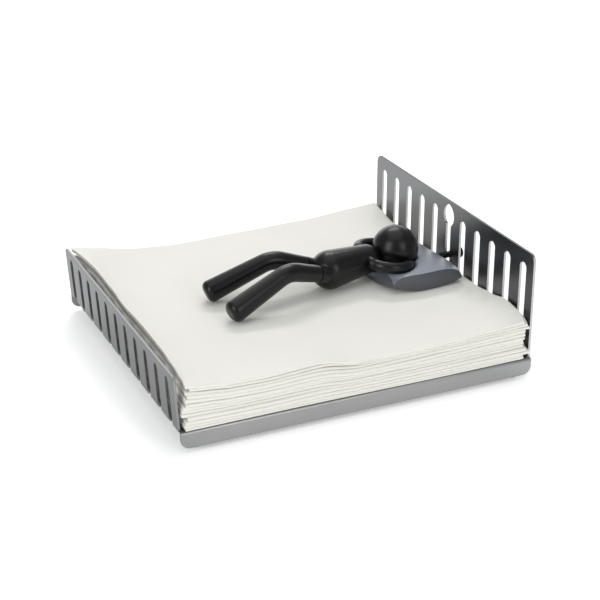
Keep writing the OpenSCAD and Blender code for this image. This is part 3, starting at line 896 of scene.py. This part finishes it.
class HOLDER_OT_pillow(Operator):
    """Shapes the boxed pillow, dented by the head, the chest and the arms."""

    bl_idname = "napkin_holder.pillow"
    bl_label = "Pillow"

    def execute(self, context):
        settings = context.scene.napkin_holder
        pillow = start_block("boxed_pillow", cuts=39)
        bpy.ops.object.mode_set(mode="OBJECT")
        self.crease_rims(pillow)
        self.shape(pillow, settings)
        use_modifier(pillow, "SUBSURF", levels=1, render_levels=1)
        settle(pillow, lying(settings.figure))
        dress(pillow, pillow_finish(settings.finish), "sleeper", "pillow_grey", "pillow", sharp=60.0)
        return {"FINISHED"}

    @staticmethod
    def crease_rims(pillow):
        """Creases the edges between the sides of the block and its top and bottom."""
        rim = 0.99
        a, b, c = np.abs(read_points(pillow)).T
        on_rim = (np.maximum(a, b) > rim) & (c > rim)
        crease = pillow.data.attributes.new("crease_edge", "FLOAT", "EDGE")
        for edge in pillow.data.edges:
            crease.data[edge.index].value = 0.9 if all(on_rim[k] for k in edge.vertices) else 0.0

    @staticmethod
    def shape(pillow, settings):
        """Moves the points of a block, which run from -1 to 1, to those of the pillow."""
        size, figure = settings.pillow, settings.figure
        plan = FigurePlan(figure)
        a, b, c = read_points(pillow).T

        # The boxed sides stay full almost to the corners, and the top crowns towards its middle
        half = (size.side * (1 - np.abs(a * b) ** 7) + size.pinch) / 2
        sag = (size.side * (1 - (a * b) ** 2) + size.pinch) / 2
        crown = size.crown - size.seam - (size.side + size.pinch) / 2
        crown = crown * (1 - np.abs(a) ** 2.5) * (1 - np.abs(b) ** 2.5)
        bulge = size.bulge * (1 - c**2)
        u = size.inset + size.length / 2 + a * (size.length / 2 + bulge * (1 - b**2))
        u -= size.back * (1 - b**2) * np.maximum(-a, 0) ** 2
        w = b * (size.width / 2 + bulge * (1 - a**2) - size.taper * np.maximum(a, 0) ** 2)

        # Dents under the head, the chest and the arms
        gap = size.dent_gap
        head = under_round(np.hypot(u - plan.head.x, w), plan.head_radius + gap, plan.head.z)
        chest = under_round(np.hypot(u - plan.shoulder.x, w), figure.shoulder + gap, plan.shoulder.z)
        from_bow = u - np.where(w > 0, plan.left_bow.x, plan.bow.x)
        off_bow = np.abs(np.hypot(from_bow, np.abs(w) - figure.bow_aside) - figure.bow)
        bow_height = plan.bow.z + from_bow * math.tan(figure.bow_slope)
        arms = under_round(off_bow, figure.arm + gap, bow_height)

        # The top falls towards the headboard, and the seam sinks with it at the corners
        blend = 0.12 * MM
        fall = size.fall * np.maximum(-a, 0) ** 3
        seam = plan.ground + size.seam - 0.7 * fall * b**4
        top = soft_least([seam + half + crown - fall * (1 - b**4), head, chest, arms], blend)
        low = np.maximum(plan.ground, seam - sag)
        z = low + (np.maximum(top, low + size.pinch) - low) * (c + 1) / 2
        write_points(pillow, np.stack([u, w, z], axis=1))


class HOLDER_OT_torso(Operator):
    """Draws out the torso from the shoulders to the hips."""

    bl_idname = "napkin_holder.torso"
    bl_label = "Torso"

    def execute(self, context):
        settings = context.scene.napkin_holder
        figure = settings.figure
        plan = FigurePlan(figure)
        lean = math.asin((figure.hip - figure.shoulder) / figure.torso)
        neck = (plan.shoulder - plan.head).length
        seat = plan.head_radius + figure.collar
        rim = (neck**2 + figure.shoulder**2 - seat**2) / (2 * neck * figure.shoulder)
        cup = math.asin(figure.shoulder * math.sin(math.acos(rim)) / seat)
        socket = dome(seat, TIP, math.pi / 2 - cup, 4)
        front = dome(figure.shoulder, -math.asin(rim), -lean, 14)
        back = dome(figure.hip, -lean, TIP, 16)
        outline = [(x - neck, r) for x, r in socket[:-1]] + front
        outline += [(x + figure.torso, r) for x, r in back]
        torso = start_ring("figure_torso", outline[0][1], place=(outline[0][0], 0, 0))
        draw_along(outline)
        close_up(torso)
        break_edges(torso, figure.collar_round, 3)
        slope = Matrix.Rotation(figure.torso_slope, 4, "Y")
        settle(torso, lying(figure) @ Matrix.Translation(plan.shoulder) @ slope)
        dress_figure(torso, settings, "torso")
        return {"FINISHED"}


class HOLDER_OT_head(Operator):
    """Rounds the head."""

    bl_idname = "napkin_holder.head"
    bl_label = "Head"

    def execute(self, context):
        settings = context.scene.napkin_holder
        figure = settings.figure
        plan = FigurePlan(figure)
        head = start_block("figure_head", cuts=23)
        bpy.ops.transform.tosphere(value=1.0)
        bpy.ops.object.mode_set(mode="OBJECT")
        points = read_points(head)
        points /= np.linalg.norm(points, axis=1)[:, None]
        write_points(head, points * plan.head_radius)
        settle(head, lying(figure) @ Matrix.Translation(plan.head))
        dress_figure(head, settings, "head")
        return {"FINISHED"}


class HOLDER_OT_arms(Operator):
    """Bows the arms round the head, from the shoulders to the hands behind it."""

    bl_idname = "napkin_holder.arms"
    bl_label = "Arms"

    crease_at: angle("Crease place", "Angle on the bow at which the crease lies", 14.0)

    def execute(self, context):
        settings = context.scene.napkin_holder
        figure = settings.figure
        plan = FigurePlan(figure)
        centre = (0, 0, 0)
        swell, step = 1.06, math.radians(1.6)
        ring = (figure.crease, 1.0, swell / figure.crease, 1 / swell)
        for side, node in ((1, "left_arm"), (-1, "right_arm")):
            start = figure.bow * Vector((math.cos(figure.bow_start), math.sin(figure.bow_start), 0))
            heading = figure.bow_start + math.pi / 2
            arm = start_ring("figure_" + node, figure.arm, start, heading, sides=32)
            swing_end(self.crease_at - figure.bow_start, centre, 10)
            for grow in ring:
                swing_end(step, centre, 1)
                resize_end(grow)
            swing_end(figure.hand - self.crease_at - len(ring) * step, centre, 32)
            draw_along(dome(figure.arm, 0, TIP, 8), figure.hand + math.pi / 2)
            close_up(arm)
            bow = plan.left_bow if side > 0 else plan.bow
            place = Matrix.Translation(bow) @ Matrix.Rotation(-figure.bow_slope, 4, "Y")
            mirror = Matrix.Diagonal((1, side, 1, 1)) @ Matrix.Translation((0, figure.bow_aside, 0))
            settle(arm, lying(figure) @ place @ mirror)
            dress_figure(arm, settings, node)
        return {"FINISHED"}


class HOLDER_OT_legs(Operator):
    """Draws out the thighs, bends the knees and rounds the feet."""

    bl_idname = "napkin_holder.legs"
    bl_label = "Legs"

    def execute(self, context):
        settings = context.scene.napkin_holder
        figure = settings.figure
        plan = FigurePlan(figure)
        hip_height = plan.hip.z + figure.leg_up
        knee_height = hip_height + figure.thigh_length * math.sin(figure.thigh_rise)
        drop = math.asin((knee_height - plan.ground - figure.ankle) / figure.shin_length)
        turn = figure.thigh_rise + drop
        trim = figure.knee_bend * math.tan(turn / 2)
        thigh = figure.thigh_length - trim
        shin = figure.shin_length - trim
        for side, node in ((1, "left_leg"), (-1, "right_leg")):
            leg = start_ring("figure_" + node, figure.thigh)
            draw_along(self.creased(self.taper(thigh, figure.thigh, figure.knee, 8), figure.crease))
            swing_end(-turn, (thigh, -figure.knee_bend, 0), 14)
            draw_along(self.taper(shin, figure.knee, figure.ankle, 12), -turn)
            flat = figure.ankle - figure.toe
            draw_along([(x, flat + r) for x, r in dome(figure.toe, 0, TIP, 8)], -turn)
            close_up(leg)
            upright = Matrix.Rotation(-figure.thigh_rise, 4, "Y")
            upright = upright @ Matrix.Rotation(math.pi / 2, 4, "X")
            spread = Matrix.Rotation(side * figure.leg_spread, 4, "Z")
            root = Vector((plan.hip.x + figure.leg_ahead, side * figure.leg_aside, hip_height))
            settle(leg, lying(figure) @ Matrix.Translation(root) @ spread @ upright)
            dress_figure(leg, settings, node)
        return {"FINISHED"}

    @staticmethod
    def creased(outline, crease):
        """The same outline with a crease after its third point, where the thigh leaves the hip."""
        x, r = outline[2]
        step, swell = 0.35 * MM, 1.02
        ring = [(x + step, r * crease), (x + 2 * step, r * crease), (x + 3 * step, r * swell)]
        return outline[:3] + ring + outline[3:]

    @staticmethod
    def taper(distance, start, end, steps):
        """An outline that swells evenly from one radius to another."""
        return [(distance * i / steps, start + (end - start) * i / steps) for i in range(steps + 1)]


# Each soft light's name, the setting with its power, its width and height, and its place
SOFTBOXES = [
    ("behind", "back_watts", (1.6, 0.6), (0.5, 1.25, 0.37)),
    ("behind_core", "core_watts", (0.72, 0.2), (0.36, 0.96, 1.2)),
    ("overhead", "top_watts", (1.6, 1.6), (0.05, 0.1, 1.5)),
    ("front_left", "left_watts", (0.65, 1.05), (-1.17, -0.57, 0.65)),
    ("front_right", "right_watts", (0.45, 0.9), (0.36, -1.25, 0.65)),
]


class HOLDER_OT_stage(Operator):
    """Sets up the pale floor, the soft studio light and the camera."""

    bl_idname = "napkin_holder.stage"
    bl_label = "Stage"

    def execute(self, context):
        settings = context.scene.napkin_holder.stage
        deselect()
        bpy.ops.mesh.primitive_plane_add(size=8)
        floor = context.object
        floor.name = floor.data.name = "studio_floor"
        floor.data.materials.append(floor_finish(settings))
        for name, power, size, place in SOFTBOXES:
            self.softbox(name, getattr(settings, power), size, place)
        self.light_all_round(context.scene, settings)
        self.add_camera(context.scene, settings)
        context.scene.view_settings.view_transform = "Standard"
        return {"FINISHED"}

    @staticmethod
    def softbox(name, power, size, place):
        """A soft light that faces the middle of the bed."""
        bpy.ops.object.light_add(type="AREA", location=place)
        light = bpy.context.object
        light.name = light.data.name = name
        light.data.energy = power
        light.data.shape = "RECTANGLE"
        light.data.size, light.data.size_y = size
        light.rotation_mode = "QUATERNION"
        light.rotation_quaternion = (-Vector(place)).to_track_quat("-Z", "Y")

    @staticmethod
    def light_all_round(scene, settings):
        """Even light from every side."""
        world = bpy.data.worlds.new("studio")
        scene.world = world
        world.use_nodes = True
        background = world.node_tree.nodes["Background"]
        background.inputs["Color"].default_value = (*settings.sky_colour, 1.0)
        background.inputs["Strength"].default_value = settings.sky

    @staticmethod
    def add_camera(scene, settings):
        """The camera, placed and aimed as for the photograph."""
        bpy.ops.object.camera_add(location=settings.camera_place)
        camera = bpy.context.object
        camera.name = camera.data.name = "photo_camera"
        camera.data.sensor_width = 36.0
        camera.data.lens = settings.lens
        camera.data.clip_start = 0.01
        aim = Vector(settings.camera_aim) - Vector(settings.camera_place)
        camera.rotation_mode = "QUATERNION"
        camera.rotation_quaternion = aim.to_track_quat("-Z", "Y")
        scene.camera = camera


PIECES = [
    HOLDER_OT_stage, HOLDER_OT_tray, HOLDER_OT_feet, HOLDER_OT_napkins, HOLDER_OT_pin,
    HOLDER_OT_pillow, HOLDER_OT_torso, HOLDER_OT_head, HOLDER_OT_arms, HOLDER_OT_legs,
]


class HOLDER_PT_panel(Panel):
    """Lists the pieces of the napkin holder."""

    bl_idname = "HOLDER_PT_panel"
    bl_label = "Napkin holder"
    bl_space_type = "VIEW_3D"
    bl_region_type = "UI"
    bl_category = "Napkin holder"

    def draw(self, context):
        for operator in PIECES:
            self.layout.operator(operator.bl_idname)


GROUPS = [
    TraySettings, StackSettings, PillowSettings, FigureSettings, FinishSettings, StageSettings,
    HolderSettings,
]


def register():
    for item in [*GROUPS, *PIECES, HOLDER_PT_panel]:
        bpy.utils.register_class(item)
    bpy.types.Scene.napkin_holder = PointerProperty(type=HolderSettings)


def unregister():
    del bpy.types.Scene.napkin_holder
    for item in reversed([*GROUPS, *PIECES, HOLDER_PT_panel]):
        bpy.utils.unregister_class(item)


def main():
    """Builds the napkin holder."""
    register()
    bpy.ops.napkin_holder.stage()
    bpy.ops.napkin_holder.tray()
    bpy.ops.napkin_holder.feet()
    bpy.ops.napkin_holder.napkins()
    bpy.ops.napkin_holder.pin()
    bpy.ops.napkin_holder.pillow()
    bpy.ops.napkin_holder.torso()
    bpy.ops.napkin_holder.head()
    bpy.ops.napkin_holder.arms()
    bpy.ops.napkin_holder.legs()
    deselect()


if __name__ == "__main__":
    main()
